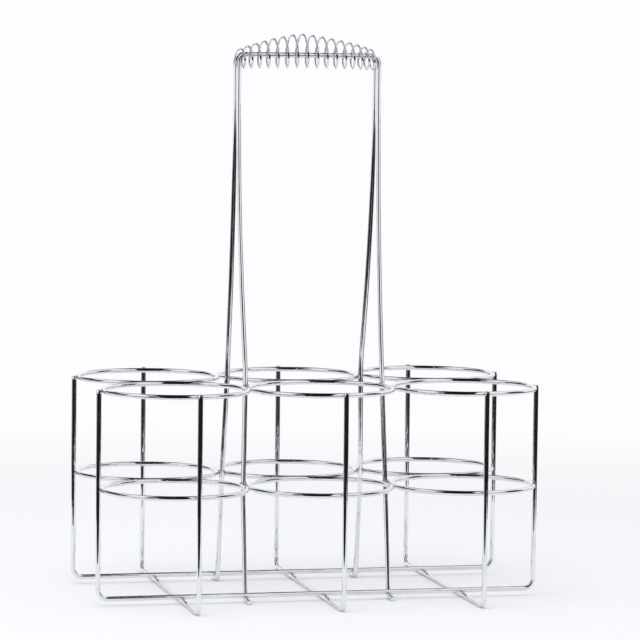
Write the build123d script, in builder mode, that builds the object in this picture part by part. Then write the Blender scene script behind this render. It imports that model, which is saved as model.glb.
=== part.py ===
from build123d import *
import math
import os

# Six-bottle carrier of round steel wire: two rows of three cells, an upper and a lower tier of
# rings, uprights bent from one wire with the floor, two handle wires and a spring wound round both
# as the grip. Millimetres, +Z up, origin on the table below the middle, +X along the rows.

# Driving sizes
wire_diameter = 3.0
wire_sides = 6
ring_runs = 32
cell_pitch = 90.0
lower_ring_height = 70.0
upper_ring_height = 130.0
row_wire_overrun = 1.0
cross_wire_overrun = 2.0
floor_bend_radius = 6.0
weld_gap = 0.05
column_count = 3

# Each cross wire stands a little to the right of the middle of its cells
left_cross_wire_offset = 6.0
middle_cross_wire_offset = 4.5
right_cross_wire_offset = 1.5

# Handle wires: each leg leans outwards from the upper ring that it seats on to the lower one
lower_seat_inset = 0.3
upper_seat_inset = 1.9
grip_leg_inset = 0.8
grip_height = 332.0
grip_wire_spacing = 9.6
handle_top_bend = 5.0
shoulder_drop = 87.0
shoulder_bend_share = 0.84
knee_rise = 8.0
knee_bend_share = 0.06
low_bend_drop = 8.0
low_bend_radius = 60.0
foot_inset = 3.7
foot_bend_radius = 4.0
foot_reach = 9.0

# Grip spring
coil_wire_diameter = 1.3
coil_wire_sides = 5
coil_section_turn = 30.0
coil_turns = 16
coil_left_inset = 0.4
coil_right_inset = 2.2
coil_middle_shift = 2.0
coil_spread_drop_share = 0.42
coil_start_share = 1.5
coil_first_step_share = 0.75
coil_end_half_height = 5.5
coil_middle_half_height = 10.0
coil_end_drop = 2.6
coil_middle_rise = 2.85
coil_peak_share = -0.12
coil_seat_gap = 0.1
coil_swell_power = 1.25
gap_samples_per_arc = 8
heading_step_share = 0.01

# Sizes that follow
ring_radius = (cell_pitch - wire_diameter - weld_gap) / 2
touch_distance = ring_radius + wire_diameter + weld_gap
wire_corner_radius = wire_diameter / 2 / math.cos(math.pi / wire_sides)
leg_touch_distance = ring_radius + wire_diameter / 2 + wire_corner_radius + weld_gap
floor_level = wire_diameter / 2
row_wire_level = floor_level + wire_diameter + weld_gap
row_wire_reach = cell_pitch * (column_count - 1) / 2 + touch_distance
row_wire_top = upper_ring_height + row_wire_overrun
cross_wire_top = upper_ring_height + cross_wire_overrun
shoulder_height = grip_height - shoulder_drop
foot_y = cell_pitch / 2 - foot_inset
foot_tip_y = cell_pitch / 2 + foot_reach
grip_wire_y = grip_wire_spacing / 2
grip_leg_x = cell_pitch / 2 - grip_leg_inset

# The end turns of the spring seat on the handle wires an eighth of a turn from the top
coil_length = 2 * grip_leg_x - coil_left_inset - coil_right_inset
coil_middle_x = (coil_left_inset - coil_right_inset) / 2
coil_seat_distance = (wire_diameter + coil_wire_diameter) / 2 + coil_seat_gap
coil_seat_rise = coil_end_half_height * math.cos(math.pi / 4) - coil_end_drop
coil_seat_y = grip_wire_y + math.sqrt(coil_seat_distance**2 - coil_seat_rise**2)
coil_half_width = coil_seat_y / math.sin(math.pi / 4)

columns = ("left", "middle", "right")
cross_wire_offsets = (left_cross_wire_offset, middle_cross_wire_offset, right_cross_wire_offset)
rows = ("front", "back")
row_sides = (-1, 1)
tiers = (("lower", lower_ring_height), ("upper", upper_ring_height))

os.makedirs("parts", exist_ok=True)


def column_x(index):
    """Middle of a column of cells."""
    return (index - (column_count - 1) / 2) * cell_pitch


def wire_section():
    """Section of the wire, drawn with six flats for its round."""
    RegularPolygon(wire_diameter / 2, wire_sides, major_radius=False)


def half_turn_tangent(before, corner, after):
    """Tangent of half the angle through which a route turns at a corner."""
    return math.tan(math.radians((corner - before).get_angle(after - corner)) / 2)


def bent_wire(corners, radii):
    """Wire along straight runs joined by tangent arcs; one radius for each inner corner."""
    points = [Vector(*corner) for corner in corners]
    first_run = points[1] - points[0]
    bend_axis = first_run.cross(points[2] - points[1])
    start = points[0]
    with BuildLine() as route:
        for corner, after, radius in zip(points[1:], points[2:], radii):
            heading = (corner - start).normalized()
            leaving = (after - corner).normalized()
            reach = radius * half_turn_tangent(start, corner, after)
            bend_start = corner - heading * reach
            bend_end = corner + leaving * reach
            Line(start, bend_start)
            TangentArc(bend_start, bend_end, tangent=heading)
            start = bend_end
        Line(start, points[-1])
    with BuildPart() as wire:
        with BuildSketch(Plane(points[0], x_dir=bend_axis, z_dir=first_run)):
            wire_section()
        sweep(path=route.wire())
    return wire.part


def wire_ring(centre):
    """Closed ring of wire, as short straight runs with mitred joints."""
    with BuildSketch(Plane(centre)) as outline:
        RegularPolygon(ring_radius, ring_runs)
    route = outline.sketch.faces()[0].outer_wire()
    first_run = route.edges()[0]
    with BuildPart() as ring:
        with BuildSketch(Plane(first_run @ 0.5, x_dir=(0, 0, 1), z_dir=first_run % 0.5)):
            wire_section()
        sweep(path=route, transition=Transition.RIGHT)
    return ring.part


def save(part, name):
    """Names one piece and writes its file."""
    part.label = name
    export_step(part, f"parts/{name}.step")
    print(name, "volume", round(part.volume))


# Rings: two tiers, a ring round each bottle, touching its neighbours both ways
for tier, height in tiers:
    for row, side in zip(rows, row_sides):
        for index, column in enumerate(columns):
            centre = (column_x(index), side * cell_pitch / 2, height)
            save(wire_ring(centre), f"{tier}_ring_{row}_{column}")

# Row wires: up the left side, along the floor under the row, up the right side
for row, side in zip(rows, row_sides):
    y = side * cell_pitch / 2
    corners = (
        (-row_wire_reach, y, row_wire_top),
        (-row_wire_reach, y, row_wire_level),
        (row_wire_reach, y, row_wire_level),
        (row_wire_reach, y, row_wire_top),
    )
    save(bent_wire(corners, (floor_bend_radius,) * 2), f"{row}_row_wire")

# Cross wires: one for each column, under both row wires
for index, column in enumerate(columns):
    offset = cross_wire_offsets[index]
    x = column_x(index) + offset
    reach = cell_pitch / 2 + math.sqrt(touch_distance**2 - offset**2)
    corners = (
        (x, -reach, cross_wire_top),
        (x, -reach, floor_level),
        (x, reach, floor_level),
        (x, reach, cross_wire_top),
    )
    save(bent_wire(corners, (floor_bend_radius,) * 2), f"{column}_cross_wire")


# Handle wires: a foot hooked under the row wire, a leg in the notch between two rings, the grip run
def leg_seat(inset, height):
    """Place of a leg against the middle ring of its row, an inset short of the notch."""
    x = cell_pitch / 2 - inset
    return Vector(x, cell_pitch / 2 - math.sqrt(leg_touch_distance**2 - x**2), height)


lower_seat = leg_seat(lower_seat_inset, lower_ring_height)
upper_seat = leg_seat(upper_seat_inset, upper_ring_height)
leg_lean = (upper_seat - lower_seat) / (upper_ring_height - lower_ring_height)
low_bend = lower_seat - leg_lean * low_bend_drop
knee = upper_seat + leg_lean * knee_rise
shoulder = Vector(grip_leg_x, grip_wire_y, shoulder_height)
grip_corner = Vector(grip_leg_x, grip_wire_y, grip_height)
slope = (shoulder - knee).length
shoulder_bend_reach = shoulder_bend_share * min(slope, shoulder_drop)
leg_radii = (
    foot_bend_radius,
    low_bend_radius,
    knee_bend_share * slope / half_turn_tangent(low_bend, knee, shoulder),
    shoulder_bend_reach / half_turn_tangent(knee, shoulder, grip_corner),
)
leg_outline = (
    Vector(low_bend.X, foot_tip_y, floor_level),
    Vector(low_bend.X, foot_y, floor_level),
    low_bend,
    knee,
    shoulder,
    grip_corner,
)
for row, side in zip(rows, row_sides):
    left = [(-point.X, side * point.Y, point.Z) for point in leg_outline]
    right = [(point.X, side * point.Y, point.Z) for point in reversed(leg_outline)]
    radii = leg_radii + (handle_top_bend,) * 2 + leg_radii[::-1]
    save(bent_wire(left + right, radii), f"{row}_handle_wire")


# Grip spring: an oval helix from corner to corner of the grip, tall near the middle and low at both
# ends. It starts and stops behind the handle wires. Half-turn steps from an eighth of a turn off the
# bottom give each turn a flat arc over, a flat arc under and two tight sides.
def coil_point(half_turns):
    """Point of the helix after a number of half turns, counted from its left end."""
    share = half_turns / coil_turns - 1
    angle = math.pi * (coil_start_share + half_turns)
    peak_to_end = 1 + coil_peak_share if share < coil_peak_share else 1 - coil_peak_share
    swell = 1 - abs((share - coil_peak_share) / peak_to_end) ** coil_swell_power
    half_height = coil_end_half_height + (coil_middle_half_height - coil_end_half_height) * swell
    centre = grip_height - coil_end_drop + (coil_middle_rise + coil_end_drop) * swell
    spread = share - coil_spread_drop_share * share**3 / 3
    x = coil_middle_x + coil_length / 2 * spread / (1 - coil_spread_drop_share / 3)
    return Vector(
        x + coil_middle_shift * (1 - share**2),
        -coil_half_width * math.sin(angle),
        centre + half_height * math.cos(angle),
    )


def coil_heading(half_turns):
    """Unit direction of the helix, by a small difference."""
    ahead = coil_point(min(half_turns + heading_step_share, 2 * coil_turns))
    behind = coil_point(max(half_turns - heading_step_share, 0))
    return (ahead - behind).normalized()


def biarc_joint(start, start_heading, end, end_heading):
    """Point where two tangent arcs of equal reach meet."""
    chord = end - start
    both = start_heading + end_heading
    a = both.dot(both) - 4
    b = -2 * chord.dot(both)
    c = chord.dot(chord)
    reach = (-b - math.sqrt(b * b - 4 * a * c)) / (2 * a)
    return (start + start_heading * reach + end - end_heading * reach) * 0.5


coil_stops = [coil_first_step_share + step for step in range(2 * coil_turns)] + [2 * coil_turns]
with BuildLine() as coil_route:
    here, heading = coil_point(0), coil_heading(0)
    coil_start, coil_start_heading = here - heading * coil_wire_diameter, heading
    Line(coil_start, here)
    for stop in coil_stops:
        there, leaving = coil_point(stop), coil_heading(stop)
        joint = biarc_joint(here, heading, there, leaving)
        first_arc = TangentArc(here, joint, tangent=heading)
        TangentArc(joint, there, tangent=first_arc.tangent_at(1))
        here, heading = there, leaving
    Line(here, here + heading * coil_wire_diameter)

with BuildPart() as grip:
    with BuildSketch(Plane(coil_start, z_dir=coil_start_heading)):
        RegularPolygon(
            coil_wire_diameter / 2,
            coil_wire_sides,
            major_radius=False,
            rotation=coil_section_turn,
        )
    sweep(path=coil_route.wire(), clean=False)
save(grip.part, "grip_spring")


def least_coil_gap():
    """Smallest clear space between turns, measured on points along the route."""
    samples = []
    for number, arc in enumerate(coil_route.edges()):
        for step in range(gap_samples_per_arc):
            samples.append((number, arc.position_at(step / gap_samples_per_arc)))
    arcs_in_half_turn = 2
    nearest = min(
        (a - b).length
        for i, (first, a) in enumerate(samples)
        for second, b in samples[i:]
        if second - first > arcs_in_half_turn
    )
    return nearest - coil_wire_diameter


print("least gap between turns of the grip spring", round(least_coil_gap(), 2), "mm")
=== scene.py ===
import logging
import math
from dataclasses import dataclass, field
from enum import Enum, IntEnum
from typing import Any, Iterable, Iterator, Mapping, Sequence

import bpy
from mathutils import Matrix, Vector


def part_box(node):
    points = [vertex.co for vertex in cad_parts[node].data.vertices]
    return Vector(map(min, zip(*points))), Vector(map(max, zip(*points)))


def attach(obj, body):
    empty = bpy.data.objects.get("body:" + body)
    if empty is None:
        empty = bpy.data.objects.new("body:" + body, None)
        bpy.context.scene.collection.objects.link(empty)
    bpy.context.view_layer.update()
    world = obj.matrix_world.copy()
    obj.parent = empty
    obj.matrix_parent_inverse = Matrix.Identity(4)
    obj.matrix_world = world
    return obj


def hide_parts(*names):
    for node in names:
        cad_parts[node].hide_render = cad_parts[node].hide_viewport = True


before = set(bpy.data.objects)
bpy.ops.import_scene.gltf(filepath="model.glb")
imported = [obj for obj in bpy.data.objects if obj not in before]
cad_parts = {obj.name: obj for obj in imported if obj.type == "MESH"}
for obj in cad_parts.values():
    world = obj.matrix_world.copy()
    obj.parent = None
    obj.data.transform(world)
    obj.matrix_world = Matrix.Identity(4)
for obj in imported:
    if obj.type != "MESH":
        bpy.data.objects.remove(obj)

# Six-bottle wire carrier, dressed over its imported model. Metres, +Z up, +X along the rows of cells,
# origin on the table below the middle.

log = logging.getLogger("wire_carrier")

MM = 0.001
ALONG_ROWS = Vector((1.0, 0.0, 0.0))
ACROSS_ROWS = Vector((0.0, 1.0, 0.0))
UP = Vector((0.0, 0.0, 1.0))


class CellPlace(Enum):
    """Rows and columns of cells, whose names the nodes carry."""

    def node(self, kind: str) -> str:
        """Name of this place's node of that kind."""
        return f"{self.name.lower()}_{kind}"


class Row(CellPlace):
    """Rows of cells, with the side of the middle that each lies on."""

    FRONT = -1
    BACK = 1


class Column(CellPlace):
    """Columns of cells, by their place along the rows."""

    LEFT = -1
    MIDDLE = 0
    RIGHT = 1


class Tier(Enum):
    """Levels of rings."""

    LOWER = "lower"
    UPPER = "upper"


class Slot(Enum):
    """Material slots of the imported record."""

    BRIGHT_WIRE = "bright_wire"
    GRIP_SPRING = "grip_spring"


class Joint(Enum):
    """How two wires meet at a weld, with the half sizes of its bead: across, along and sideways."""

    SIDE_BY_SIDE = (0.75 * MM, 3.0 * MM, 0.95 * MM)
    CROSSING = (0.62 * MM, 1.45 * MM, 1.45 * MM)
    IN_NOTCH = (0.62 * MM, 2.3 * MM, 1.25 * MM)


class FirstSeed(IntEnum):
    """Seed of the first piece of each kind; the next pieces of the kind count up from it."""

    RINGS = 1
    ROW_WIRES = 20
    CROSS_WIRES = 30
    HANDLE_WIRES = 40
    SPRING = 50
    TIER_WELDS = 60
    FLOOR_WELDS = 70


# Node trees


class Value:
    """An output socket that takes part in sums as a number does."""

    def __init__(self, graph: "Graph", socket: bpy.types.NodeSocket) -> None:
        """Keeps the socket and the tree that it belongs to."""
        self.graph = graph
        self.socket = socket

    def __getitem__(self, name: str) -> "Value":
        """Another output of the same node."""
        return Value(self.graph, self.socket.node.outputs[name])

    def maths(self, operation: str, *others: Any) -> "Value":
        """This value and others through one Math node."""
        return self.graph.node("ShaderNodeMath", {"operation": operation}, dict(enumerate((self, *others))))

    def __add__(self, other: Any) -> "Value":
        """Sum."""
        return self.maths("ADD", other)

    __radd__ = __add__

    def __sub__(self, other: Any) -> "Value":
        """Difference."""
        return self.maths("SUBTRACT", other)

    def __rsub__(self, other: Any) -> "Value":
        """Difference from a number."""
        return self.graph.number_first("SUBTRACT", other, self)

    def __mul__(self, other: Any) -> "Value":
        """Product."""
        return self.maths("MULTIPLY", other)

    __rmul__ = __mul__

    def __truediv__(self, other: Any) -> "Value":
        """Quotient."""
        return self.maths("DIVIDE", other)

    def __rtruediv__(self, other: Any) -> "Value":
        """Number divided by this value."""
        return self.graph.number_first("DIVIDE", other, self)

    def __pow__(self, other: Any) -> "Value":
        """Power."""
        return self.maths("POWER", other)

    def clamped(self) -> "Value":
        """Value held between 0 and 1."""
        return self.maths("MAXIMUM", 0.0).maths("MINIMUM", 1.0)

    def above(self, edge: float, slope: float) -> "Value":
        """How far the value is above an edge, times a slope, held between 0 and 1."""
        return ((self - edge) * slope).clamped()


class Graph:
    """Builds one node tree; every node comes from node()."""

    def __init__(self, tree: bpy.types.NodeTree) -> None:
        """Keeps the tree."""
        self.tree = tree

    def node(
        self, kind: str, settings: Mapping[str, Any] | None = None, inputs: Mapping[Any, Any] | None = None
    ) -> Value:
        """Adds a node.

        Args:
            kind: Node type's name.
            settings: Properties, set before the sockets.
            inputs: Values or links of its sockets, by name or by place.

        Returns:
            The node's first output that is in use, or a value on its first input if it has none.
        """
        made = self.tree.nodes.new(kind)
        for name, setting in (settings or {}).items():
            setattr(made, name, setting)
        for key, given in (inputs or {}).items():
            socket = made.inputs[key] if isinstance(key, int) else self._named(made, key)
            if isinstance(given, Value):
                self.tree.links.new(given.socket, socket)
            else:
                socket.default_value = given
        shown = [socket for socket in made.outputs if socket.enabled]
        return Value(self, shown[0] if shown else made.inputs[0])

    @staticmethod
    def _named(made: bpy.types.Node, name: str) -> bpy.types.NodeSocket:
        """Input of that name that the node's settings leave in use."""
        return next(socket for socket in made.inputs if socket.name == name and socket.enabled)

    def number_first(self, operation: str, number: float, value: Value) -> Value:
        """Math node whose first operand is a plain number."""
        return self.node("ShaderNodeMath", {"operation": operation}, {0: number, 1: value})

    def vector(self, x: Any, y: Any, z: Any) -> Value:
        """Vector from three values."""
        return self.node("ShaderNodeCombineXYZ", None, {"X": x, "Y": y, "Z": z})

    def vector_maths(self, operation: str, first: Any, second: Any) -> Value:
        """Two vectors through one Vector Math node."""
        return self.node("ShaderNodeVectorMath", {"operation": operation}, {0: first, 1: second})

    def scaled(self, vector: Value, factor: Any) -> Value:
        """Vector times a value."""
        return self.node("ShaderNodeVectorMath", {"operation": "SCALE"}, {0: vector, "Scale": factor})

    def noise(self, place: Value, scale: Any, detail: float, seed: Value | None = None) -> Value:
        """Adds a noise texture.

        Args:
            place: Where it is read.
            scale: Patches in each unit of the place.
            detail: Levels of finer patches.
            seed: Shifts the whole texture, where it is given.

        Returns:
            The factor, around a half.
        """
        settings, seeded = ({}, {}) if seed is None else ({"noise_dimensions": "4D"}, {"W": seed})
        inputs = {"Vector": place, "Scale": scale, "Detail": detail, **seeded}
        return self.node("ShaderNodeTexNoise", settings, inputs)["Fac"]

    def bump(self, height: Value, depth: float, **under: Value) -> Value:
        """Normal of a relief of that depth, over the Normal under it where one is given."""
        inputs = {"Height": height, "Distance": depth, "Strength": 1.0, **under}
        return self.node("ShaderNodeBump", None, inputs)


def linked_object(name: str, data: bpy.types.ID) -> bpy.types.Object:
    """Makes an object and links it to the scene.

    Args:
        name: Its name.
        data: The mesh, lamp or camera that it shows.

    Returns:
        The object.
    """
    made = bpy.data.objects.new(name, data)
    bpy.context.scene.collection.objects.link(made)
    return made


class GeometryTree:
    """A Geometry Nodes tree with named inputs, and the way to run it on a mesh."""

    def __init__(self, name: str) -> None:
        """Makes an empty tree.

        Args:
            name: The tree's name.
        """
        tree = bpy.data.node_groups.new(name, "GeometryNodeTree")
        self.graph = Graph(tree)
        self.tree = tree
        self.identifiers: dict[str, str] = {}
        self._entry: bpy.types.Node | None = None

    def input(self, name: str, kind: str = "NodeSocketFloat") -> Value:
        """Adds a named input.

        Args:
            name: Its name.
            kind: Its socket type.

        Returns:
            The input as a value inside the tree.
        """
        item = self.tree.interface.new_socket(name, in_out="INPUT", socket_type=kind)
        self.identifiers[name] = item.identifier
        if self._entry is None:
            self._entry = self.tree.nodes.new("NodeGroupInput")
        return Value(self.graph, self._entry.outputs[name])

    def inputs(self, *names: str) -> list[Value]:
        """Adds several named inputs that are numbers."""
        return [self.input(name) for name in names]

    def close(self, geometry: Value, finish: Value) -> None:
        """Ends the tree in Realize Instances and Set Material.

        Args:
            geometry: What the tree has made.
            finish: Its material.
        """
        g = self.graph
        whole = g.node("GeometryNodeRealizeInstances", None, {"Geometry": geometry})
        smooth = g.node("GeometryNodeSetShadeSmooth", None, {"Geometry": whole})
        dressed = g.node("GeometryNodeSetMaterial", None, {"Geometry": smooth, "Material": finish})
        self.tree.interface.new_socket("Geometry", in_out="OUTPUT", socket_type="NodeSocketGeometry")
        leaving = self.tree.nodes.new("NodeGroupOutput")
        self.tree.links.new(dressed.socket, leaving.inputs["Geometry"])

    def run(self, name: str, seed_mesh: bpy.types.Mesh, settings: Mapping[str, Any]) -> bpy.types.Object:
        """Runs the tree on a mesh and keeps the result as a plain mesh.

        Args:
            name: Name of the piece.
            seed_mesh: Mesh that the tree starts from.
            settings: The tree's inputs by name.

        Returns:
            The new piece, with no modifier.
        """
        piece = linked_object(name, seed_mesh)
        modifier = piece.modifiers.new("build", "NODES")
        modifier.node_group = self.tree
        for key, setting in settings.items():
            modifier[self.identifiers[key]] = setting
        bpy.context.view_layer.update()
        ready = piece.evaluated_get(bpy.context.evaluated_depsgraph_get())
        plain = bpy.data.meshes.new_from_object(ready)
        plain.name = name
        piece.modifiers.remove(modifier)
        piece.data = plain
        bpy.data.meshes.remove(seed_mesh)
        return piece


class DrawnWireTree(GeometryTree):
    """Round drawn wire: sweeps a circle along a line, with dressed ends, a swelling at a butt seam and
    the slight sway of wire bent by hand."""

    def __init__(self, name: str = "drawn_wire") -> None:
        """Builds the tree for a line given as mesh edges.

        Args:
            name: The tree's name.
        """
        super().__init__(name)
        route = self.input("Route", "NodeSocketGeometry")
        line = self.graph.node("GeometryNodeMeshToCurve", None, {"Mesh": route})
        self.dress(line)

    def dress(self, line: Value) -> None:
        """Sways the line, sweeps the wire's section along it and closes the tree.

        Args:
            line: The curve to follow.
        """
        g = self.graph
        radius, end_length, end_flat = self.inputs("Wire Radius", "End Length", "End Flat")
        seam_swell, seam_width = self.inputs("Seam Swell", "Seam Width")
        sway, sway_scale, seed = self.inputs("Sway", "Sway Scale", "Seed")
        sides = self.input("Sides", "NodeSocketInt")
        finish = self.input("Finish", "NodeSocketMaterial")

        place = g.node("GeometryNodeInputPosition")
        drift = g.noise(place, sway_scale, 1.0, seed)["Color"]
        offset = g.scaled(g.vector_maths("SUBTRACT", drift, (0.5, 0.5, 0.5)), sway)
        swayed = g.node("GeometryNodeSetPosition", None, {"Geometry": line, "Offset": offset})

        run = g.node("GeometryNodeSplineParameter")["Length"]
        whole = g.node("GeometryNodeSplineLength")["Length"]
        to_end = run.maths("MINIMUM", whole - run)
        share = (to_end / end_length).clamped()
        rounding = (1.0 - (1.0 - share) ** 2.0).maths("SQRT")
        swell = ((to_end / seam_width) ** 2.0 * -1.0).maths("EXPONENT") * seam_swell
        size = (end_flat + (1.0 - end_flat) * rounding) * (1.0 + swell)

        kept_run = self._captured(swayed, run)
        circle_inputs = {"Resolution": sides, "Radius": radius}
        circle = g.node("GeometryNodeCurvePrimitiveCircle", {"mode": "RADIUS"}, circle_inputs)
        turn = g.node("GeometryNodeSplineParameter")["Factor"] * math.tau
        kept_turn = self._captured(circle, turn)
        skin = g.node(
            "GeometryNodeCurveToMesh",
            None,
            {
                "Curve": kept_run["Geometry"],
                "Profile Curve": kept_turn["Geometry"],
                "Scale": size,
                "Fill Caps": True,
            },
        )
        around = kept_turn["Kept"]
        lay = g.vector(around.maths("COSINE"), around.maths("SINE"), kept_run["Kept"] / radius)
        marked = g.node(
            "GeometryNodeStoreNamedAttribute",
            {"data_type": "FLOAT_VECTOR", "domain": "POINT"},
            {"Geometry": skin, "Name": "lay", "Value": lay},
        )
        self.close(marked, finish)

    def _captured(self, geometry: Value, value: Value) -> Value:
        """Keeps a value on a curve's points.

        Args:
            geometry: The curve.
            value: What is kept.

        Returns:
            The curve, whose node has the value as its output Kept.
        """
        made = self.tree.nodes.new("GeometryNodeCaptureAttribute")
        made.capture_items.new("FLOAT", "Kept")
        self.tree.links.new(geometry.socket, made.inputs["Geometry"])
        self.tree.links.new(value.socket, made.inputs["Kept"])
        return Value(self.graph, made.outputs["Geometry"])


class GripSpringTree(DrawnWireTree):
    """Oval helix, tall in the middle and low at both ends, swept as drawn wire."""

    def __init__(self) -> None:
        """Builds the tree; the line starts as a straight one with the helix's count of points."""
        GeometryTree.__init__(self, "grip_spring")
        g = self.graph
        self.input("Route", "NodeSocketGeometry")
        steps = self.input("Points", "NodeSocketInt")
        turns, start_turn = self.inputs("Turns", "Start Turn")
        half_length, half_width = self.inputs("Half Length", "Half Width")
        end_half_height, middle_half_height = self.inputs("End Half Height", "Middle Half Height")
        end_level, middle_level, spread_drop = self.inputs("End Level", "Middle Level", "Spread Drop")
        peak, swell_power, middle_x = self.inputs("Peak Share", "Swell Power", "Middle X")
        middle_shift, unevenness, wander_scale = self.inputs("Middle Shift", "Unevenness", "Wander Scale")

        straight = g.node("GeometryNodeCurvePrimitiveLine", None, {"End": (1.0, 0.0, 0.0)})
        line = g.node("GeometryNodeResampleCurve", {"mode": "COUNT"}, {"Curve": straight, "Count": steps})
        along = g.node("GeometryNodeSplineParameter")["Factor"]
        share = along * 2.0 - 1.0
        from_peak = share - peak
        peak_to_end = 1.0 - peak * from_peak.maths("SIGN")
        swell = 1.0 - (from_peak / peak_to_end).maths("ABSOLUTE") ** swell_power
        wander = g.node(
            "ShaderNodeTexNoise",
            {"noise_dimensions": "1D"},
            {"W": along * turns, "Scale": wander_scale, "Detail": 1.0},
        )["Fac"] - 0.5
        angle = (start_turn + along * turns) * math.tau
        half_height = end_half_height + (middle_half_height - end_half_height) * swell
        level = end_level + (middle_level - end_level) * swell
        spread = (share - spread_drop * share ** 3.0 / 3.0) / (1.0 - spread_drop / 3.0)
        x = middle_x + half_length * spread + middle_shift * (1.0 - share**2.0) + unevenness * wander
        y = half_width * angle.maths("SINE") * -1.0
        z = level + half_height * angle.maths("COSINE")
        helix = g.node("GeometryNodeSetPosition", None, {"Geometry": line, "Position": g.vector(x, y, z)})
        self.dress(helix)


class WeldBeadTree(GeometryTree):
    """Weld beads: a lumpy drop of metal at every point, turned and sized by the point's attributes."""

    def __init__(self) -> None:
        """Builds the tree for a mesh of single points."""
        super().__init__("weld_beads")
        g = self.graph
        places = self.input("Places", "NodeSocketGeometry")
        detail = self.input("Detail", "NodeSocketInt")
        lumps, lump_scale, seed = self.inputs("Lumps", "Lump Scale", "Seed")
        finish = self.input("Finish", "NodeSocketMaterial")
        drop = g.node("GeometryNodeMeshIcoSphere", None, {"Radius": 1.0, "Subdivisions": detail})
        turn = g.node("GeometryNodeInputNamedAttribute", {"data_type": "FLOAT_VECTOR"}, {"Name": "bead_turn"})
        size = g.node("GeometryNodeInputNamedAttribute", {"data_type": "FLOAT_VECTOR"}, {"Name": "bead_size"})
        points = g.node("GeometryNodeMeshToPoints", None, {"Mesh": places})
        beads = g.node(
            "GeometryNodeInstanceOnPoints",
            None,
            {
                "Points": points,
                "Instance": drop,
                "Rotation": g.node("FunctionNodeEulerToRotation", None, {"Euler": turn}),
                "Scale": size,
            },
        )
        whole = g.node("GeometryNodeRealizeInstances", None, {"Geometry": beads})
        noise = g.noise(g.node("GeometryNodeInputPosition"), lump_scale, 2.0, seed)
        outwards = g.scaled(g.node("GeometryNodeInputNormal"), (noise - 0.5) * lumps)
        lumpy = g.node("GeometryNodeSetPosition", None, {"Geometry": whole, "Offset": outwards})
        self.close(lumpy, finish)


# Finishes


def blank_material(name: str) -> tuple[bpy.types.Material, Graph]:
    """Makes a material with an empty tree.

    Args:
        name: Its name.

    Returns:
        The material, and the graph that fills its tree.
    """
    made = bpy.data.materials.new(name)
    made.use_nodes = True
    made.node_tree.nodes.clear()
    return made, Graph(made.node_tree)


@dataclass(frozen=True)
class ChromePlate:
    """Bright chrome over drawn steel wire: near mirror, with faint haze, draw lines and specks.

    Attributes:
        name: Material's name.
        tone: Colour of clean plate.
        dull_tone: Colour under haze.
        clear: Roughness of clean plate.
        hazy: Roughness under haze.
        haze_scale: Haze patches per metre.
        haze_edge: Noise above which haze starts, and how fast it grows.
        haze_share: How far full haze moves the colour, and how far the roughness.
        speck_scale: Specks per metre.
        speck_edge: Noise above which specks start, and how fast they grow.
        speck_share: How far a speck moves the colour, and how far the roughness.
        line_scale: Draw lines round the wire and along it.
        line_share: How far the draw lines move the roughness.
        line_depth: Depth of the draw lines, in metres.
        dent_scale: Dents per metre.
        dent_depth: Depth of the wire's slight unevenness, in metres.
    """

    name: str
    tone: tuple[float, float, float] = (0.83, 0.84, 0.865)
    dull_tone: tuple[float, float, float] = (0.70, 0.715, 0.75)
    clear: float = 0.035
    hazy: float = 0.14
    haze_scale: float = 55.0
    haze_edge: tuple[float, float] = (0.46, 4.0)
    haze_share: tuple[float, float] = (0.6, 0.55)
    speck_scale: float = 2200.0
    speck_edge: tuple[float, float] = (0.62, 9.0)
    speck_share: tuple[float, float] = (0.5, 0.3)
    line_scale: tuple[float, float, float] = (5.0, 5.0, 0.16)
    line_share: float = 0.25
    line_depth: float = 0.000008
    dent_scale: float = 260.0
    dent_depth: float = 0.00002

    def material(self) -> bpy.types.Material:
        """Builds the material.

        Returns:
            The finished material.
        """
        made, g = blank_material(self.name)
        place = g.node("ShaderNodeTexCoord")["Object"]
        haze = g.noise(place, self.haze_scale, 4.0).above(*self.haze_edge)
        specks = g.noise(place, self.speck_scale, 2.0).above(*self.speck_edge)
        dents = g.noise(place, self.dent_scale, 1.0)
        lay = g.node("ShaderNodeAttribute", {"attribute_name": "lay"})["Vector"]
        lines = g.noise(g.vector_maths("MULTIPLY", lay, self.line_scale), 1.0, 3.0)
        dullness = (haze * self.haze_share[0] + specks * self.speck_share[0]).clamped()
        tone = g.node(
            "ShaderNodeMix",
            {"data_type": "RGBA"},
            {"Factor": dullness, "A": (*self.tone, 1.0), "B": (*self.dull_tone, 1.0)},
        )
        dulling = haze * self.haze_share[1] + specks * self.speck_share[1] + lines * self.line_share
        roughness = self.clear + (self.hazy - self.clear) * dulling
        relief = g.bump(dents, self.dent_depth, Normal=g.bump(lines, self.line_depth))
        shader = g.node(
            "ShaderNodeBsdfPrincipled",
            None,
            {"Base Color": tone, "Metallic": 1.0, "Roughness": roughness, "Normal": relief},
        )
        g.node("ShaderNodeOutputMaterial", None, {"Surface": shader})
        return made


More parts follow.
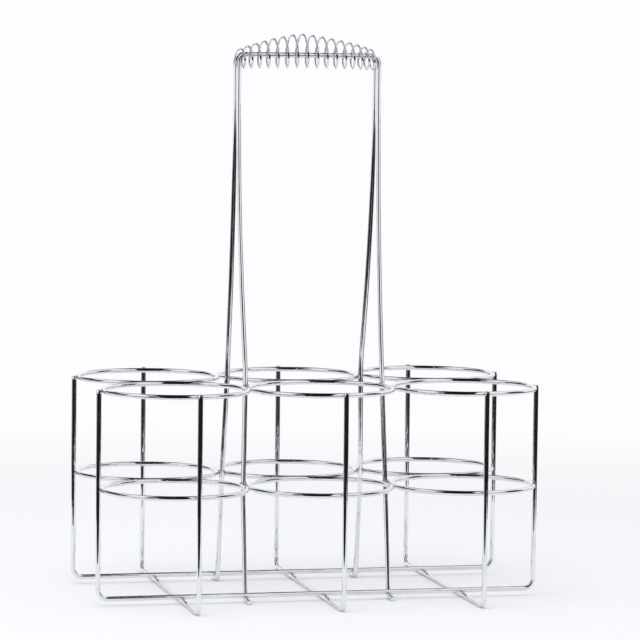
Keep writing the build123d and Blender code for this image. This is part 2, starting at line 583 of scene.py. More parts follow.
@dataclass(frozen=True)
class TableWhite:
    """Plain pale table whose far part fades into the backdrop.

    Attributes:
        tone: Colour of the table near the object.
        backdrop: Colour of the backdrop.
        fade_start: Distance from the middle at which the fade starts.
        fade_end: Distance at which only the backdrop's colour is left.
    """

    tone: tuple[float, float, float]
    backdrop: tuple[float, float, float]
    fade_start: float = 0.45
    fade_end: float = 0.95

    def material(self) -> bpy.types.Material:
        """Builds the material.

        Returns:
            The finished material.
        """
        made, g = blank_material("table_white")
        place = g.node("ShaderNodeTexCoord")["Object"]
        far = g.node("ShaderNodeVectorMath", {"operation": "LENGTH"}, {0: place})["Value"]
        fade = ((far - self.fade_start) / (self.fade_end - self.fade_start)).clamped()
        matte = g.node("ShaderNodeBsdfDiffuse", None, {"Color": (*self.tone, 1.0)})
        glow = g.node("ShaderNodeEmission", None, {"Color": (*self.backdrop, 1.0), "Strength": 1.0})
        mixed = g.node("ShaderNodeMixShader", None, {0: fade, 1: matte, 2: glow})
        g.node("ShaderNodeOutputMaterial", None, {"Surface": mixed})
        return made


# Sizes


@dataclass(frozen=True)
class CarrierSizes:
    """Driving sizes of the carrier, in metres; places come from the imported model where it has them.

    Attributes:
        wire_diameter: Diameter of every wire but the spring's.
        weld_gap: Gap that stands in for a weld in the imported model.
        floor_bend_radius: Radius of the bend between an upright and a floor run.
        lower_seat_inset: How far a leg stands in from the border of two columns, at the lower rings.
        upper_seat_inset: The same at the upper rings.
        grip_leg_inset: The same under the grip.
        grip_wire_spacing: Distance between the handle wires under the hand.
        handle_top_bend: Radius of the bend between a leg and the run under the hand.
        shoulder_drop: How far the shoulder lies below the run under the hand.
        shoulder_bend_share: Share of the shorter run beside it that the shoulder's bend takes.
        knee_rise: How far the knee lies above the upper rings.
        knee_bend_share: Share of the run up to the shoulder that the knee's bend takes.
        low_bend_drop: How far the low bend lies below the lower rings.
        low_bend_radius: Radius of the low bend.
        foot_inset: How far the foot's bend lies inside the row wire.
        foot_bend_radius: Radius of the foot's bend.
        foot_reach: How far the foot's tip reaches past the row wire.
        wire_sides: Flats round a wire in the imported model.
    """

    wire_diameter: float = 3.0 * MM
    weld_gap: float = 0.05 * MM
    floor_bend_radius: float = 6.0 * MM
    lower_seat_inset: float = 0.3 * MM
    upper_seat_inset: float = 1.9 * MM
    grip_leg_inset: float = 0.8 * MM
    grip_wire_spacing: float = 9.6 * MM
    handle_top_bend: float = 5.0 * MM
    shoulder_drop: float = 87.0 * MM
    shoulder_bend_share: float = 0.84
    knee_rise: float = 8.0 * MM
    knee_bend_share: float = 0.06
    low_bend_drop: float = 8.0 * MM
    low_bend_radius: float = 60.0 * MM
    foot_inset: float = 3.7 * MM
    foot_bend_radius: float = 4.0 * MM
    foot_reach: float = 9.0 * MM
    wire_sides: int = 6

    @staticmethod
    def ring_node(tier: Tier, row: Row, column: Column) -> str:
        """Name of a ring's node."""
        return f"{tier.value}_ring_{row.name.lower()}_{column.name.lower()}"

    def ring_centre(self, tier: Tier, row: Row, column: Column) -> Vector:
        """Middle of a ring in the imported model."""
        low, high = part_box(self.ring_node(tier, row, column))
        return (low + high) / 2

    @property
    def cell_pitch(self) -> float:
        """Distance between the middles of two neighbouring cells."""
        middle = self.ring_centre(Tier.LOWER, Row.FRONT, Column.MIDDLE)
        return self.ring_centre(Tier.LOWER, Row.FRONT, Column.RIGHT).x - middle.x

    @property
    def wire_radius(self) -> float:
        """Half the wire's diameter."""
        return self.wire_diameter / 2

    @property
    def corner_radius(self) -> float:
        """Distance from a wire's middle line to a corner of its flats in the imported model."""
        return self.wire_radius / math.cos(math.pi / self.wire_sides)

    @property
    def grip_height(self) -> float:
        """Height of the handle wires' middle lines under the hand."""
        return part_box("front_handle_wire")[1].z - self.corner_radius

    @property
    def ring_radius(self) -> float:
        """Radius of a ring's middle line."""
        return (self.cell_pitch - self.wire_diameter - self.weld_gap) / 2

    @property
    def leg_touch_distance(self) -> float:
        """Distance from a ring's middle to a leg that seats against it."""
        return self.ring_radius + self.wire_radius + self.corner_radius + self.weld_gap

    def tier_height(self, tier: Tier) -> float:
        """Height of a tier's rings."""
        return self.ring_centre(tier, Row.FRONT, Column.MIDDLE).z

    def leg_seat(self, tier: Tier) -> Vector:
        """Place of a back right leg against the middle ring of its row.

        Args:
            tier: The ring's tier.

        Returns:
            The place of the leg's middle line.
        """
        inset = self.lower_seat_inset if tier is Tier.LOWER else self.upper_seat_inset
        x = self.cell_pitch / 2 - inset
        y = self.cell_pitch / 2 - math.sqrt(self.leg_touch_distance**2 - x**2)
        return Vector((x, y, self.tier_height(tier)))


@dataclass(frozen=True)
class WireMake:
    """How a wire is drawn, cut and bent.

    Attributes:
        sides: Flats round the swept section.
        step: Longest distance between points of a straight run.
        arc_step: Largest turn between points of a bend, in degrees.
        end_length: Length over which a cut end is rounded.
        end_steps: Places of the points along a rounded end, as shares of its length.
        end_flat: Share of the wire's diameter that stays flat on the end.
        sway: Size of the sway of hand-bent wire.
        sway_scale: Sways per metre.
    """

    sides: int = 28
    step: float = 4.0 * MM
    arc_step: float = 5.0
    end_length: float = 0.4 * MM
    end_steps: tuple[float, ...] = (0.04, 0.14, 0.3, 0.52, 0.76, 1.0)
    end_flat: float = 0.72
    sway: float = 0.22 * MM
    sway_scale: float = 16.0


# Routes


class BentRoute:
    """Points along straight runs joined by tangent arcs."""

    def __init__(self, corners: Sequence[Vector], radii: Sequence[float], make: WireMake) -> None:
        """Works out the points.

        Args:
            corners: Ends and corners of the runs.
            radii: One bend radius for each inner corner.
            make: Spacing of the points.
        """
        self.make = make
        self.points: list[Vector] = [corners[0].copy()]
        start = corners[0]
        for corner, after, radius in zip(corners[1:], corners[2:], radii):
            heading = (corner - start).normalized()
            leaving = (after - corner).normalized()
            turn = heading.angle(leaving)
            reach = radius * math.tan(turn / 2)
            self._run_to(corner - heading * reach)
            middle = corner + (leaving - heading).normalized() * (radius / math.cos(turn / 2))
            spoke = (self.points[-1] - middle).normalized()
            by_angle = math.degrees(turn) / make.arc_step
            count = max(2, math.ceil(by_angle), math.ceil(radius * turn / make.step))
            for step in range(1, count + 1):
                angle = turn * step / count
                self.points.append(middle + (spoke * math.cos(angle) + heading * math.sin(angle)) * radius)
            start = corner + leaving * reach
        self._run_to(corners[-1])
        self._ease_ends()

    def _run_to(self, end: Vector) -> None:
        """Adds points along a straight run.

        Args:
            end: Where the run ends.
        """
        start = self.points[-1]
        count = max(1, math.ceil((end - start).length / self.make.step))
        self.points += [start.lerp(end, step / count) for step in range(1, count + 1)]

    def _ease_ends(self) -> None:
        """Adds close points where the cut ends are rounded."""
        shares = self.make.end_steps
        first, second = self.points[0], self.points[1]
        last, before = self.points[-1], self.points[-2]
        into_start = (second - first).normalized() * self.make.end_length
        into_end = (before - last).normalized() * self.make.end_length
        self.points[1:1] = [first + into_start * share for share in shares]
        self.points[-1:-1] = [last + into_end * share for share in reversed(shares)]

    def mesh(self, name: str) -> bpy.types.Mesh:
        """The route as a mesh of edges."""
        return line_mesh(name, self.points, closed=False)


def line_mesh(name: str, points: Sequence[Vector], closed: bool) -> bpy.types.Mesh:
    """Mesh of edges through points.

    Args:
        name: The mesh's name.
        points: Its vertices in order.
        closed: Whether an edge joins the last point to the first.

    Returns:
        The mesh.
    """
    edges = [(index, index + 1) for index in range(len(points) - 1)]
    if closed:
        edges.append((len(points) - 1, 0))
    mesh = bpy.data.meshes.new(f"{name}_line")
    mesh.from_pydata([tuple(point) for point in points], edges, [])
    return mesh


# Sub-assemblies


@dataclass
class SubAssembly:
    """What every sub-assembly shares: sizes, the way its wire is made, its finish and its tree.

    Attributes:
        sizes: The carrier's sizes.
        make: How its wire is made.
        tree: The tree that sweeps its wire.
        finish: Its material.
        slot: The record's slot that the finish belongs to; not used.
    """

    sizes: CarrierSizes
    make: WireMake
    tree: DrawnWireTree
    finish: bpy.types.Material
    slot: Slot = Slot.BRIGHT_WIRE

    def wire_settings(self, seed: int, **changes: Any) -> dict[str, Any]:
        """Inputs of the wire tree.

        Args:
            seed: Seed of the sway.
            changes: Inputs that differ from the sub-assembly's own.

        Returns:
            The inputs by name.
        """
        shared = ("sides", "end_length", "end_flat", "sway", "sway_scale")
        settings = {key: getattr(self.make, key) for key in shared}
        s = self.sizes
        settings.update(wire_radius=s.wire_radius, seam_swell=0.0, seam_width=s.wire_diameter)
        settings.update(seed=float(seed), finish=self.finish, **changes)
        return {key.replace("_", " ").title(): given for key, given in settings.items()}

    def place(self, piece: bpy.types.Object, *nodes: str) -> None:
        """Lets a finished piece ride on the body and stand for its nodes, and reports it.

        Args:
            piece: The finished piece.
            nodes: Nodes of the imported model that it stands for.
        """
        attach(piece, "root")
        if nodes:
            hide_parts(*nodes)
        log.info("%s: %d faces", piece.name, len(piece.data.polygons))


@dataclass
class RingTiers(SubAssembly):
    """Two tiers of rings, one round each bottle, each bent from one wire and butt-welded.

    Attributes:
        ring_steps: Points round a ring.
        seam_swell: How much the wire swells at the butt weld.
        seam_width: Length of the swelling.
        seam_angles: Direction of the seam for each row, in degrees.
    """

    ring_steps: int = 96
    seam_swell: float = 0.07
    seam_width: float = 1.3 * MM
    seam_angles: Mapping[Row, float] = field(default_factory=lambda: {Row.FRONT: 212.0, Row.BACK: 148.0})

    def build(self) -> None:
        """Makes every ring."""
        places = [(tier, row, column) for tier in Tier for row in Row for column in Column]
        for number, place in enumerate(places):
            self._ring(*place, FirstSeed.RINGS + number)

    def _ring(self, tier: Tier, row: Row, column: Column, seed: int) -> None:
        """Makes one ring.

        Args:
            tier: Its tier.
            row: Its row.
            column: Its column.
            seed: Seed of its sway.
        """
        node = self.sizes.ring_node(tier, row, column)
        middle = self.sizes.ring_centre(tier, row, column)
        start = math.radians(self.seam_angles[row])
        points = []
        for step in range(self.ring_steps):
            angle = start + math.tau * step / self.ring_steps
            spoke = Vector((math.cos(angle), math.sin(angle), 0.0))
            points.append(middle + spoke * self.sizes.ring_radius)
        seam = {"seam_swell": self.seam_swell, "seam_width": self.seam_width}
        settings = self.wire_settings(seed, end_flat=1.0, **seam)
        self.place(self.tree.run(f"{node}_wire", line_mesh(node, points, closed=True), settings), node)


@dataclass
class FloorFrame(SubAssembly):
    """Row wires and cross wires, whose floor runs and uprights are one wire each."""

    def build(self) -> None:
        """Makes every row wire and cross wire."""
        for number, row in enumerate(Row):
            self._frame_wire(row.node("row_wire"), FirstSeed.ROW_WIRES + number)
        for number, column in enumerate(Column):
            self._frame_wire(column.node("cross_wire"), FirstSeed.CROSS_WIRES + number)

    def _middle_lines(self, node: str) -> tuple[Vector, Vector]:
        """Corners of the box round a bent wire's middle line, with its cut ends at full height.

        Args:
            node: Its node.

        Returns:
            The lowest and the highest corner.
        """
        low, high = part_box(node)
        middle = (low + high) / 2
        inset = Vector((self.sizes.wire_radius,) * 3)
        first, last = low + inset, high - inset
        for axis in (0, 1):
            if high[axis] - low[axis] < 2 * self.sizes.wire_diameter:
                first[axis] = last[axis] = middle[axis]
        last.z = high.z
        return first, last

    def _frame_wire(self, node: str, seed: int) -> None:
        """Makes one wire: down one upright, along the floor and up the other.

        Args:
            node: Its node.
            seed: Seed of its sway.
        """
        low, high = self._middle_lines(node)
        corners = [Vector((low.x, low.y, high.z)), low, Vector((high.x, high.y, low.z)), high]
        route = BentRoute(corners, (self.sizes.floor_bend_radius,) * 2, self.make)
        self.place(self.tree.run(f"{node}_wire", route.mesh(node), self.wire_settings(seed)), node)


@dataclass
class Handle(SubAssembly):
    """Two handle wires, each from a foot up one leg, over the grip and down to the other foot."""

    def build(self) -> None:
        """Makes both handle wires."""
        for number, row in enumerate(Row):
            node = row.node("handle_wire")
            outline, radii = self.leg()
            left = [Vector((-point.x, row.value * point.y, point.z)) for point in outline]
            right = [Vector((point.x, row.value * point.y, point.z)) for point in reversed(outline)]
            bends = radii + (self.sizes.handle_top_bend,) * 2 + radii[::-1]
            route = BentRoute(left + right, bends, self.make)
            settings = self.wire_settings(FirstSeed.HANDLE_WIRES + number)
            self.place(self.tree.run(f"{node}_wire", route.mesh(node), settings), node)

    def leg(self) -> tuple[list[Vector], tuple[float, ...]]:
        """Corners of the back right leg from its foot to the grip, and the bend at each inner one.

        Returns:
            The corners and the radii.
        """
        s = self.sizes
        lower, upper = s.leg_seat(Tier.LOWER), s.leg_seat(Tier.UPPER)
        lean = (upper - lower) / (upper.z - lower.z)
        low_bend = lower - lean * s.low_bend_drop
        knee = upper + lean * s.knee_rise
        grip = Vector((s.cell_pitch / 2 - s.grip_leg_inset, s.grip_wire_spacing / 2, s.grip_height))
        shoulder = Vector((grip.x, grip.y, s.grip_height - s.shoulder_drop))
        foot = Vector((low_bend.x, s.cell_pitch / 2 - s.foot_inset, s.wire_radius))
        tip = Vector((low_bend.x, s.cell_pitch / 2 + s.foot_reach, s.wire_radius))
        slope = (shoulder - knee).length
        knee_reach = s.knee_bend_share * slope
        shoulder_reach = s.shoulder_bend_share * min(slope, s.shoulder_drop)
        radii = (
            s.foot_bend_radius,
            s.low_bend_radius,
            knee_reach / math.tan((knee - low_bend).angle(shoulder - knee) / 2),
            shoulder_reach / math.tan((shoulder - knee).angle(grip - shoulder) / 2),
        )
        return [tip, foot, low_bend, knee, shoulder, grip], radii


@dataclass
class GripSpring(SubAssembly):
    """Spring of thin wire wound round both handle wires.

    Attributes:
        coil_wire_diameter: Diameter of its wire.
        coil_wire_sides: Flats round its swept section.
        turns: Count of turns.
        points_per_turn: Points of the helix in each turn.
        left_inset: Distance from its left end to the left leg's middle line.
        right_inset: Distance from its right end to the right leg's middle line.
        middle_shift: How far its middle turns sit to the right.
        spread_drop: Share by which the turns close up towards the ends.
        start_turn: Where the first turn starts, as a share of a turn from the top.
        end_half_height: Half the height of the end turns.
        middle_half_height: Half the height of the middle turns.
        end_drop: How far the end turns' middle lies below the handle wires.
        middle_rise: How far the middle turns' middle lies above them.
        peak_share: Where it is tallest, from -1 at the left end to 1 at the right end.
        seat_gap: Clearance of the end turns on the handle wires.
        swell_power: How fast the turns grow towards the middle.
        seat_angle: Angle round the end turns at which they touch the handle wires.
        unevenness: How much the spacing of the turns wanders.
        wander_scale: Wanders in each turn.
    """

    coil_wire_diameter: float = 1.3 * MM
    coil_wire_sides: int = 14
    turns: int = 16
    points_per_turn: int = 40
    left_inset: float = 0.4 * MM
    right_inset: float = 2.2 * MM
    middle_shift: float = 2.0 * MM
    spread_drop: float = 0.42
    start_turn: float = 0.75
    end_half_height: float = 5.5 * MM
    middle_half_height: float = 10.0 * MM
    end_drop: float = 2.6 * MM
    middle_rise: float = 2.85 * MM
    peak_share: float = -0.12
    seat_gap: float = 0.1 * MM
    swell_power: float = 1.25
    seat_angle: float = math.pi / 4
    unevenness: float = 0.5 * MM
    wander_scale: float = 0.55

    def build(self) -> None:
        """Makes the spring."""
        s = self.sizes
        seat_distance = (s.wire_diameter + self.coil_wire_diameter) / 2 + self.seat_gap
        seat_rise = self.end_half_height * math.cos(self.seat_angle) - self.end_drop
        seat_y = s.grip_wire_spacing / 2 + math.sqrt(seat_distance**2 - seat_rise**2)
        own = ("middle_shift", "spread_drop", "start_turn", "end_half_height", "middle_half_height")
        own += ("peak_share", "swell_power", "unevenness", "wander_scale")
        settings = self.wire_settings(
            FirstSeed.SPRING,
            wire_radius=self.coil_wire_diameter / 2,
            sides=self.coil_wire_sides,
            end_length=self.coil_wire_diameter / 3,
            sway=0.0,
            turns=float(self.turns),
            points=self.turns * self.points_per_turn + 1,
            half_length=s.cell_pitch / 2 - s.grip_leg_inset - (self.left_inset + self.right_inset) / 2,
            middle_x=(self.left_inset - self.right_inset) / 2,
            half_width=seat_y / math.sin(self.seat_angle),
            end_level=s.grip_height - self.end_drop,
            middle_level=s.grip_height + self.middle_rise,
            **{key: getattr(self, key) for key in own},
        )
        seed_mesh = line_mesh("grip_spring", [Vector(), Vector((1.0, 0.0, 0.0))], closed=False)
        self.place(self.tree.run("grip_spring_wire", seed_mesh, settings), "grip_spring")


@dataclass(frozen=True)
class Weld:
    """One weld.

    Attributes:
        place: Its middle.
        across: Direction from one wire to the other.
        along: Direction of its long side.
        joint: How the wires meet.
    """

    place: Vector
    across: Vector
    along: Vector
    joint: Joint

    def turn(self) -> tuple[float, float, float]:
        """Turn that brings a bead's X to across and its Y to along.

        Returns:
            The Euler angles.
        """
        sideways = self.across.cross(self.along).normalized()
        along = sideways.cross(self.across).normalized()
        axes = Matrix((self.across.normalized(), along, sideways)).transposed()
        return tuple(axes.to_euler())


@dataclass
class Welds(SubAssembly):
    """Weld beads where wires meet, in one piece for each tier and one for the floor.

    Attributes:
        bead_tree: The tree that makes the beads.
        lumps: Height of a bead's unevenness.
        lump_scale: Lumps per metre.
        bead_detail: How often a bead's faces are divided.
    """

    bead_tree: WeldBeadTree | None = None
    lumps: float = 0.35 * MM
    lump_scale: float = 700.0
    bead_detail: int = 3

    def build(self) -> None:
        """Makes the welds of both tiers and of the floor."""
        for number, tier in enumerate(Tier):
            welds = list(self._tier_welds(tier))
            self._beads(f"{tier.value}_tier_welds", welds, FirstSeed.TIER_WELDS + number)
        self._beads("floor_welds", list(self._floor_welds()), FirstSeed.FLOOR_WELDS)

    def _tier_welds(self, tier: Tier) -> Iterator[Weld]:
        """Welds between rings, and of rings to uprights and legs.

        Args:
            tier: The rings' tier.

        Yields:
            Each weld.
        """
        s = self.sizes
        reach = s.cell_pitch / 2
        for column in Column:
            middle = s.ring_centre(tier, Row.BACK, column)
            yield Weld(middle - ACROSS_ROWS * reach, ACROSS_ROWS, ALONG_ROWS, Joint.SIDE_BY_SIDE)
        for row in Row:
            centre = s.ring_centre(tier, row, Column.MIDDLE)
            for side in (-1, 1):
                outwards = ALONG_ROWS * reach * side
                yield Weld(centre + outwards, ALONG_ROWS, ACROSS_ROWS, Joint.SIDE_BY_SIDE)
                outer = s.ring_centre(tier, row, Column.RIGHT if side > 0 else Column.LEFT)
                yield Weld(outer + outwards, ALONG_ROWS, UP, Joint.CROSSING)
                leg = s.leg_seat(tier)
                leg = Vector((side * leg.x, row.value * leg.y, leg.z))
                yield self._between(centre, leg, UP, Joint.IN_NOTCH)
                if tier is Tier.LOWER:
                    yield self._between(outer, leg, UP, Joint.IN_NOTCH)
            for column in Column:
                centre = s.ring_centre(tier, row, column)
                low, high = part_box(column.node("cross_wire"))
                y = low.y if row is Row.FRONT else high.y
                upright = Vector(((low.x + high.x) / 2, y - row.value * s.wire_radius, centre.z))
                yield self._between(centre, upright, UP, Joint.CROSSING)

    def _between(self, ring_centre: Vector, wire: Vector, along: Vector, joint: Joint) -> Weld:
        """Weld between a ring and a wire that stands beside it.

        Args:
            ring_centre: Middle of the ring.
            wire: Place of the wire's middle line at the ring's height.
            along: Direction of the weld's long side.
            joint: How the wires meet.

        Returns:
            The weld.
        """
        spoke = wire - ring_centre
        gap = spoke.length - self.sizes.ring_radius
        middle = ring_centre + spoke.normalized() * (self.sizes.ring_radius + gap / 2)
        return Weld(middle, spoke, along, joint)

    def _floor_welds(self) -> Iterator[Weld]:
        """Welds where cross wires and feet pass under the row wires.

        Yields:
            Each weld.
        """
        s = self.sizes
        feet = [side * s.leg_seat(Tier.LOWER).x for side in (-1, 1)]
        crossings = [sum(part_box(column.node("cross_wire")), Vector()).x / 2 for column in Column]
        for row in Row:
            low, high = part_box(row.node("row_wire"))
            for x in feet + crossings:
                yield Weld(Vector((x, (low.y + high.y) / 2, low.z)), UP, ACROSS_ROWS, Joint.CROSSING)

    def _beads(self, name: str, welds: Sequence[Weld], seed: int) -> None:
        """Makes one piece from a list of welds.

        Args:
            name: Its name.
            welds: Its welds.
            seed: Seed of the beads' lumps.
        """
        mesh = bpy.data.meshes.new(f"{name}_places")
        mesh.from_pydata([tuple(weld.place) for weld in welds], [], [])
        marks = {"bead_turn": [w.turn() for w in welds], "bead_size": [w.joint.value for w in welds]}
        for key, rows in marks.items():
            stored = mesh.attributes.new(key, "FLOAT_VECTOR", "POINT")
            stored.data.foreach_set("vector", [number for row in rows for number in row])
        settings = {
            "Detail": self.bead_detail,
            "Lumps": self.lumps,
            "Lump Scale": self.lump_scale,
            "Seed": float(seed),
            "Finish": self.finish,
        }
        self.place(self.bead_tree.run(name, mesh, settings))


# Studio


@dataclass(frozen=True)
class PaintedReflectionCard:
    """Painted reflection of a dark part of the room, as a curved glowing card round the object that only
    reflections show.

    Attributes:
        name: The card's name.
        sides: From and to, as shares of the distance, left negative.
        rise: From and to, in degrees: 0 at the horizon in front, 90 overhead, 180 at the back.
        heading: Direction of the front, in degrees to the left of the rows' normal.
        distance: Distance from the middle of the object.
        steps: Faces along each side of the card.
    """

    name: str
    sides: tuple[float, float]
    rise: tuple[float, float]
    heading: float = 13.6
    distance: float = 2.9
    steps: int = 24

    def spoke(self, side: float, rise: float) -> Vector:
        """Direction from the middle of the object to a place on the card.

        Args:
            side: Share of the distance to the right.
            rise: Degrees up from the horizon in front.

        Returns:
            The direction, of length 1.
        """
        ahead, right = self.level_axes()
        angle = math.radians(rise)
        level = math.sqrt(1.0 - side**2)
        return right * side + (ahead * math.cos(angle) + UP * math.sin(angle)) * level

    def level_axes(self) -> tuple[Vector, Vector]:
        """Level directions to the front and to the right.

        Returns:
            Both directions, of length 1.
        """
        turn = math.radians(self.heading)
        ahead = Vector((-math.sin(turn), -math.cos(turn), 0.0))
        return ahead, Vector((-ahead.y, ahead.x, 0.0))

    def build(self, finish: bpy.types.Material) -> None:
        """Makes the card.

        Args:
            finish: Its material.
        """
        (left, right), (low, high) = self.sides, self.rise
        shares = [step / self.steps for step in range(self.steps + 1)]
        sides = [left + (right - left) * share for share in shares]
        rises = [low + (high - low) * share for share in shares]
        row = self.steps + 1
        starts = [i * row + j for i in range(self.steps) for j in range(self.steps)]
        faces = [(a, a + 1, a + row + 1, a + row) for a in starts]
        verts = [tuple(self.spoke(side, rise) * self.distance) for side in sides for rise in rises]
        Studio.stage_mesh(self.name, verts, faces, finish, only_reflected=True)


@dataclass(frozen=True)
class PaintedReflectionWall(PaintedReflectionCard):
    """Painted reflection of a dark wall: its sides are in degrees round from the front, and its rise is its
    height in degrees.
    """

    def spoke(self, side: float, rise: float) -> Vector:
        """Direction from the middle of the object to a place on the wall.

        Args:
            side: Degrees round from the front, to the right.
            rise: Degrees up from the horizon.

        Returns:
            The direction, of length 1.
        """
        around, angle = math.radians(side), math.radians(rise)
        ahead, right = self.level_axes()
        level = ahead * math.cos(around) + right * math.sin(around)
        return level * math.cos(angle) + UP * math.sin(angle)


@dataclass(frozen=True)
class PaintedReflectionBoard:
    """Upright glowing dark board near the object that only reflections show: a painted reflection.

    Attributes:
        name: The board's name.
        low: Its lower corner at one end.
        high: Its upper corner at the other end.
    """

    name: str
    low: tuple[float, float, float]
    high: tuple[float, float, float]

    def build(self, finish: bpy.types.Material) -> None:
        """Makes the board.

        Args:
            finish: Its material.
        """
        (x0, y0, z0), (x1, y1, z1) = self.low, self.high
        verts = [self.low, (x1, y1, z0), self.high, (x0, y0, z1)]
        Studio.stage_mesh(self.name, verts, [(0, 1, 2, 3)], finish, only_reflected=True)


@dataclass(frozen=True)
class Camera:
    """Camera at the photograph's place.

    Attributes:
        place: Where it stands.
        yaw: Turn to the right of the rows' normal, in degrees.
        pitch: Tilt upwards, in degrees.
        roll: Roll to the left, in degrees.
        focal_pixels: Focal length in pixels of the frame.
        frame_pixels: Width of the frame in pixels.
        sensor: Sensor width in millimetres.
        farthest: Farthest distance that it shows.
    """

    place: tuple[float, float, float]
    yaw: float
    pitch: float
    roll: float
    focal_pixels: float
    frame_pixels: float = 640.0
    sensor: float = 36.0
    farthest: float = 100.0

    def build(self) -> None:
        """Makes the camera and sets it as the scene's."""
        yaw, pitch, roll = (math.radians(angle) for angle in (self.yaw, self.pitch, self.roll))
        ahead = Vector((math.sin(yaw) * math.cos(pitch), math.cos(yaw) * math.cos(pitch), math.sin(pitch)))
        level = Vector((math.cos(yaw), -math.sin(yaw), 0.0))
        upright = level.cross(ahead)
        right = level * math.cos(roll) + upright * math.sin(roll)
        above = upright * math.cos(roll) - level * math.sin(roll)
        data = bpy.data.cameras.new("camera")
        data.sensor_width = self.sensor
        data.lens = self.sensor * self.focal_pixels / self.frame_pixels
        data.clip_end = self.farthest
        made = linked_object("camera", data)
        turn = Matrix((right, above, -ahead)).transposed().to_4x4()
        made.matrix_world = Matrix.Translation(self.place) @ turn
        bpy.context.scene.camera = made


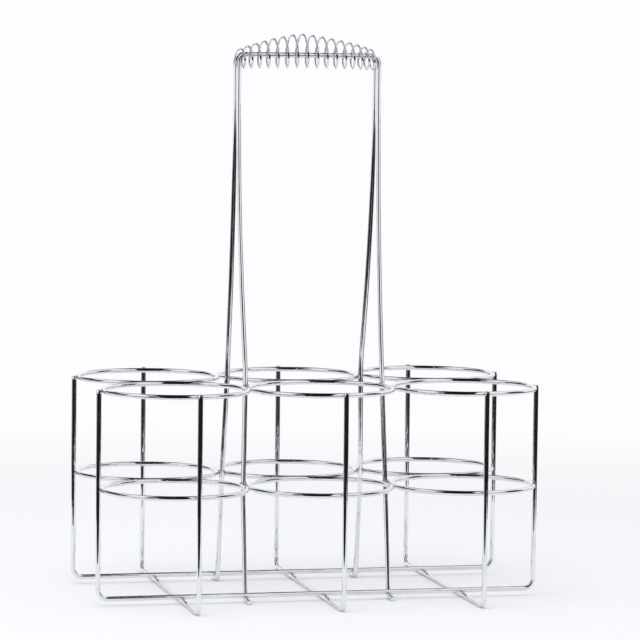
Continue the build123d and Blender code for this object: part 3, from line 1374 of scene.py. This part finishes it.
@dataclass(frozen=True)
class Studio:
    """White table and backdrop, one large soft lamp, and glowing dark cards and floor that paint the room's
    dark reflections on the chrome.

    Attributes:
        backdrop: Colour of the backdrop.
        table: Colour of the table.
        ambient: Strength of the light from all round.
        lamp_watts: Power of the overhead lamp.
        lamp_size: Width of the overhead lamp.
        lamp_place: Where it hangs.
        lamp_aim: Place that it points at.
        table_reach: How far the table reaches for the camera.
        table_half_width: How far the white table reaches on each side.
        table_front: How far it reaches in front of the middle.
        table_slant: How much further it reaches for each metre to the right.
        table_back: How far it reaches behind.
        painted_floor_reach: How far the dark floor round it reaches.
        painted_floor_lift: Height of that floor over the table.
        painted_floor_split: The y at which its front part meets its back part.
        dark: Glow of the dark cards and of the floor's front part, painted dark reflections, from 0 to 1.
        dim: Glow of the floor's back part, a dimmer painted reflection.
        cards: Glowing dark cards above the floor, far and near, that paint reflections of the room.
    """

    backdrop: tuple[float, float, float] = (0.985, 0.98, 1.0)
    table: tuple[float, float, float] = (0.955, 0.965, 0.99)
    ambient: float = 0.79
    lamp_watts: float = 9.0
    lamp_size: float = 1.2
    lamp_place: tuple[float, float, float] = (-0.5, -0.5, 1.7)
    lamp_aim: tuple[float, float, float] = (0.0, 0.0, 0.1)
    table_reach: float = 12.0
    table_half_width: float = 0.5
    table_front: float = 0.297
    table_slant: float = 0.46
    table_back: float = 0.6
    # Glowing floor round the table that only reflections see: a painted dark reflection.
    painted_floor_reach: float = 2.8
    painted_floor_lift: float = 0.4 * MM
    painted_floor_split: float = 0.15
    dark: float = 0.012
    dim: float = 0.30
    # Glowing dark cards that only reflections see: painted reflections of the room round the object.
    cards: tuple[PaintedReflectionCard | PaintedReflectionBoard, ...] = (
        PaintedReflectionCard("camera_side", (-0.62, 0.50), (-6.0, 2.6)),
        PaintedReflectionCard("camera_level", (-0.20, 0.15), (2.6, 6.0)),
        PaintedReflectionCard("camera_stand", (-0.38, 0.30), (6.0, 18.0)),
        PaintedReflectionCard("high_front", (-0.60, 0.29), (18.0, 62.0)),
        PaintedReflectionCard("ceiling", (-0.33, 0.25), (62.0, 150.0)),
        PaintedReflectionWall("left_wall", (-140.0, -78.0), (7.0, 40.0)),
        PaintedReflectionWall("right_wall", (74.0, 106.0), (7.0, 40.0)),
        PaintedReflectionWall("right_box", (22.0, 100.0), (5.7, 15.0), distance=0.6),
        PaintedReflectionBoard("front_left_board", (-0.26, -0.38, 0.005), (-0.015, -0.38, 0.33)),
    )

    @staticmethod
    def stage_mesh(
        name: str,
        verts: Sequence[tuple[float, float, float]],
        faces: Sequence[tuple[int, ...]],
        finish: bpy.types.Material,
        only_reflected: bool = False,
    ) -> None:
        """Makes a mesh that belongs to the studio.

        Args:
            name: Its name.
            verts: Its vertices.
            faces: Its faces.
            finish: Its material.
            only_reflected: Whether only reflections show it.
        """
        mesh = bpy.data.meshes.new(name)
        mesh.from_pydata(verts, [], faces)
        mesh.materials.append(finish)
        made = linked_object(name, mesh)
        if only_reflected:
            made.visible_camera = made.visible_diffuse = made.visible_shadow = False
            made.visible_transmission = made.visible_volume_scatter = False

    def build(self) -> None:
        """Makes the studio."""
        r = self.table_reach
        corners = [(-r, -r, 0.0), (r, -r, 0.0), (r, r, 0.0), (-r, r, 0.0)]
        self.stage_mesh("table", corners, [(0, 1, 2, 3)], TableWhite(self.table, self.backdrop).material())
        # Painted reflections: glowing dark and dim sheets that only glossy rays see.
        dark = self.glow("dark_room", self.dark)
        self._painted_reflection_floor("room_floor_front", -self.painted_floor_reach, self.painted_floor_split, dark)
        self._painted_reflection_floor("room_floor_back", self.painted_floor_split, self.painted_floor_reach, self.glow("dim_room", self.dim))
        for card in self.cards:
            card.build(dark)
        self._world()
        self._lamp()

    @staticmethod
    def glow(name: str, brightness: float) -> bpy.types.Material:
        """Makes a plain grey that glows evenly; it paints the dark reflections of the room.

        Args:
            name: The material's name.
            brightness: Brightness, from 0 to 1.

        Returns:
            The material.
        """
        made, g = blank_material(name)
        light = g.node("ShaderNodeEmission", None, {"Color": (brightness, brightness, brightness, 1.0)})
        g.node("ShaderNodeOutputMaterial", None, {"Surface": light})
        return made

    def _painted_reflection_floor(self, name: str, lowest: float, highest: float, finish: bpy.types.Material) -> None:
        """Front or back part of the floor round the table, as a glowing sheet that only reflections show: a
        painted reflection.

        Args:
            name: Its name.
            lowest: Its lowest y.
            highest: Its highest y.
            finish: Its material.
        """
        w, r = self.table_half_width, self.painted_floor_reach
        is_front = lowest < 0
        edges = [-self.table_front - self.table_slant * x if is_front else self.table_back for x in (-w, w)]
        inner, outer = (highest, lowest) if is_front else (lowest, highest)
        opening = [(-w, inner), (-w, edges[0]), (w, edges[1]), (w, inner)]
        outline = [(-r, inner), (-r, outer), (r, outer), (r, inner)]
        faces = [(0, 4, 5, 1), (1, 5, 6, 2), (2, 6, 7, 3)]
        verts = [(x, y, self.painted_floor_lift) for x, y in opening + outline]
        self.stage_mesh(name, verts, faces, finish, only_reflected=True)

    def _world(self) -> None:
        """White backdrop for the camera and for reflections, softer light on everything else."""
        world = bpy.data.worlds.new("backdrop")
        bpy.context.scene.world = world
        world.use_nodes = True
        world.node_tree.nodes.clear()
        g = Graph(world.node_tree)
        path = g.node("ShaderNodeLightPath")
        seen = path["Is Camera Ray"].maths("MAXIMUM", path["Is Glossy Ray"])
        seen = seen.maths("MAXIMUM", path["Is Transmission Ray"])
        soft = g.node("ShaderNodeBackground", None, {"Color": (1.0, 1.0, 1.0, 1.0), "Strength": self.ambient})
        white = g.node("ShaderNodeBackground", None, {"Color": (*self.backdrop, 1.0), "Strength": 1.0})
        mixed = g.node("ShaderNodeMixShader", None, {0: seen, 1: soft, 2: white})
        g.node("ShaderNodeOutputWorld", None, {"Surface": mixed})

    def _lamp(self) -> None:
        """Large soft lamp above the table."""
        data = bpy.data.lights.new("overhead", "AREA")
        data.energy = self.lamp_watts
        data.size = self.lamp_size
        lamp = linked_object("overhead", data)
        aim = Vector(self.lamp_aim) - Vector(self.lamp_place)
        turn = aim.to_track_quat("-Z", "Y").to_matrix().to_4x4()
        lamp.matrix_world = Matrix.Translation(self.lamp_place) @ turn
        lamp.visible_glossy = False


CAMERA = Camera(
    place=(-0.4879, -2.0530, 0.3277), yaw=13.6257, pitch=-4.3116, roll=0.6933, focal_pixels=3417.0
)


def main() -> None:
    """Builds the carrier and its studio, and logs the face count of each new wire and weld piece."""
    logging.basicConfig(level=logging.INFO, format="%(name)s: %(message)s")
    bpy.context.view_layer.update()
    bpy.context.scene.view_settings.view_transform = "Standard"
    sizes = CarrierSizes()
    make = WireMake()
    wire_tree = DrawnWireTree()
    plate = ChromePlate("bright_wire_chrome").material()
    spring_plate = ChromePlate("grip_spring_chrome", haze_scale=120.0, line_depth=0.000004).material()
    weld_plate = ChromePlate(
        "weld_chrome",
        tone=(0.78, 0.79, 0.81),
        dull_tone=(0.56, 0.57, 0.60),
        clear=0.10,
        hazy=0.32,
        haze_scale=400.0,
    ).material()
    RingTiers(sizes, make, wire_tree, plate).build()
    FloorFrame(sizes, make, wire_tree, plate).build()
    Handle(sizes, make, wire_tree, plate).build()
    GripSpring(sizes, make, GripSpringTree(), spring_plate, Slot.GRIP_SPRING).build()
    Welds(sizes, make, wire_tree, weld_plate, bead_tree=WeldBeadTree()).build()
    Studio().build()
    CAMERA.build()


if __name__ == "__main__":
    main()
